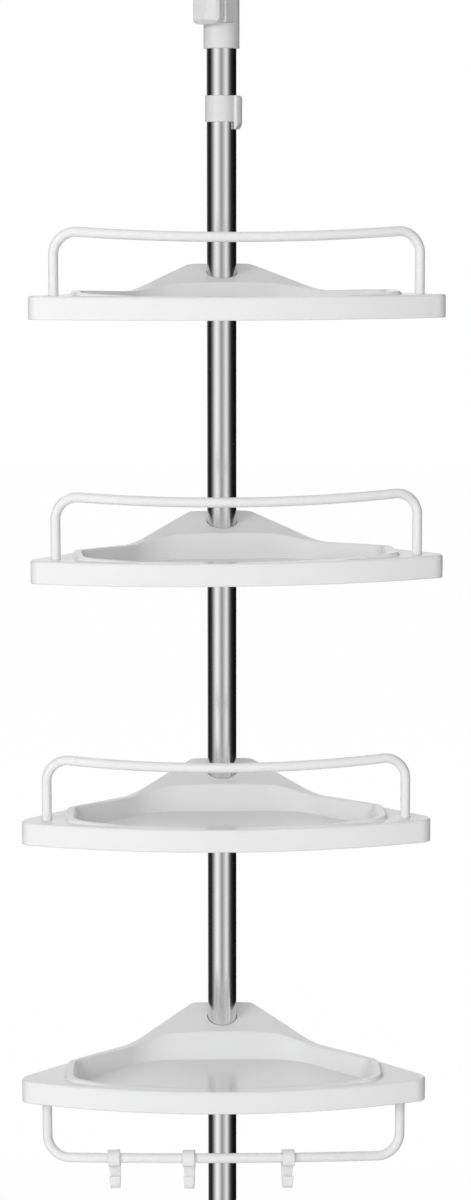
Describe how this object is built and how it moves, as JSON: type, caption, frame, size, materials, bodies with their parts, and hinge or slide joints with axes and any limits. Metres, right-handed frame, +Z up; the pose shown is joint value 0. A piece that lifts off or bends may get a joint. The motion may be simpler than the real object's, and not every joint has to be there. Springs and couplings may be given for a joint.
{
  "type": "tension pole shelf unit",
  "caption": "Floor-to-ceiling sprung pole carrying swivelling corner trays with guard rails, a towel bar and hooks.",
  "frame": {"origin": "pole axis at the underside of the floor pad", "axes": "+Z up along the pole, -Y to the front of the trays, +X to the right as seen from the front"},
  "size_m": [0.3452, 0.1966, 2.119],
  "materials": {
    "white_plastic": "moulded, glossy",
    "white_coated_wire": "plastic coated steel rod",
    "stainless_tube": "polished stainless steel",
    "grey_rubber": "moulded rubber",
    "spring_steel": "drawn wire",
    "plated_steel": "zinc plated",
    "natural_nylon": "moulded, self coloured"
  },
  "bodies": {
    "pole": {"floor_pad": "grey_rubber", "floor_cup": "white_plastic", "lower_tube": "stainless_tube", "middle_tube": "stainless_tube", "upper_tube": "stainless_tube", "tube_connectors": "natural_nylon", "clamp_body": "white_plastic", "lever_pin": "plated_steel"},
    "inner_pole": {"inner_tube": "stainless_tube", "guide_bush": "natural_nylon", "spring_seat": "natural_nylon", "plunger_spring": "spring_steel", "plunger_guide": "white_plastic"},
    "ceiling_end": {"plunger": "plated_steel", "ceiling_cup": "white_plastic", "ceiling_pad": "grey_rubber"},
    "lever": {"clamp_lever": "white_plastic"},
    "stop_ring": {"stop_collar": "white_plastic"},
    "collar_1": {"support_collar_1": "natural_nylon"},
    "tray_1": {"shelf_1": "white_plastic", "guard_rail_1": "white_coated_wire"},
    "collar_2": {"support_collar_2": "natural_nylon"},
    "tray_2": {"shelf_2": "white_plastic", "guard_rail_2": "white_coated_wire"},
    "collar_3": {"support_collar_3": "natural_nylon"},
    "tray_3": {"shelf_3": "white_plastic", "guard_rail_3": "white_coated_wire"},
    "collar_4": {"support_collar_4": "natural_nylon"},
    "tray_4": {"shelf_4": "white_plastic", "towel_bar": "white_coated_wire"},
    "towel_hook_1": {"hook_1": "white_plastic"},
    "towel_hook_2": {"hook_2": "white_plastic"},
    "towel_hook_3": {"hook_3": "white_plastic"}
  },
  "joints": [
    {"name": "pole_extension", "type": "slide", "parent": "pole", "child": "inner_pole", "axis": [0, 0, 1], "range_m": [-0.22, 0.1]},
    {"name": "ceiling_press", "type": "slide", "parent": "inner_pole", "child": "ceiling_end", "axis": [0, 0, 1], "range_m": [-0.03, 0], "stiffness_N_per_m": 2000, "springref_m": 0.02, "deforming": ["plunger_spring"]},
    {"name": "lever_hinge", "type": "hinge", "parent": "pole", "child": "lever", "pos_m": [-0.01163, -0.01724, 1.327], "axis": [-0.829, 0.5592, 0], "range_deg": [0, 115]},
    {"name": "stop_ring_slide", "type": "slide", "parent": "pole", "child": "stop_ring", "axis": [0, 0, 1], "range_m": [-0.06, 0.03]},
    {"name": "height_1", "type": "slide", "parent": "pole", "child": "collar_1", "axis": [0, 0, 1], "range_m": [-0.05, 0.05]},
    {"name": "swivel_1", "type": "hinge", "parent": "collar_1", "child": "tray_1", "pos_m": [0, 0, 1.049], "axis": [0, 0, 1], "continuous": true},
    {"name": "height_2", "type": "slide", "parent": "pole", "child": "collar_2", "axis": [0, 0, 1], "range_m": [-0.05, 0.05]},
    {"name": "swivel_2", "type": "hinge", "parent": "collar_2", "child": "tray_2", "pos_m": [0, 0, 0.839], "axis": [0, 0, 1], "continuous": true},
    {"name": "height_3", "type": "slide", "parent": "pole", "child": "collar_3", "axis": [0, 0, 1], "range_m": [-0.05, 0.05]},
    {"name": "swivel_3", "type": "hinge", "parent": "collar_3", "child": "tray_3", "pos_m": [0, 0, 0.623], "axis": [0, 0, 1], "continuous": true},
    {"name": "height_4", "type": "slide", "parent": "pole", "child": "collar_4", "axis": [0, 0, 1], "range_m": [-0.05, 0.05]},
    {"name": "swivel_4", "type": "hinge", "parent": "collar_4", "child": "tray_4", "pos_m": [0, 0, 0.404], "axis": [0, 0, 1], "continuous": true},
    {"name": "hook_swing_1", "type": "hinge", "parent": "tray_4", "child": "towel_hook_1", "pos_m": [-0.0896, -0.13446, 0.35601], "axis": [0.9857, -0.1623, 0.046], "range_deg": [-60, 60]},
    {"name": "hook_swing_2", "type": "hinge", "parent": "tray_4", "child": "towel_hook_2", "pos_m": [-0.02753, -0.14045, 0.35778], "axis": [0.9988, -0.0474, 0.0154], "range_deg": [-60, 60]},
    {"name": "hook_swing_3", "type": "hinge", "parent": "tray_4", "child": "towel_hook_3", "pos_m": [0.05445, -0.13783, 0.3573], "axis": [0.994, 0.1067, -0.0257], "range_deg": [-60, 60]}
  ]
}
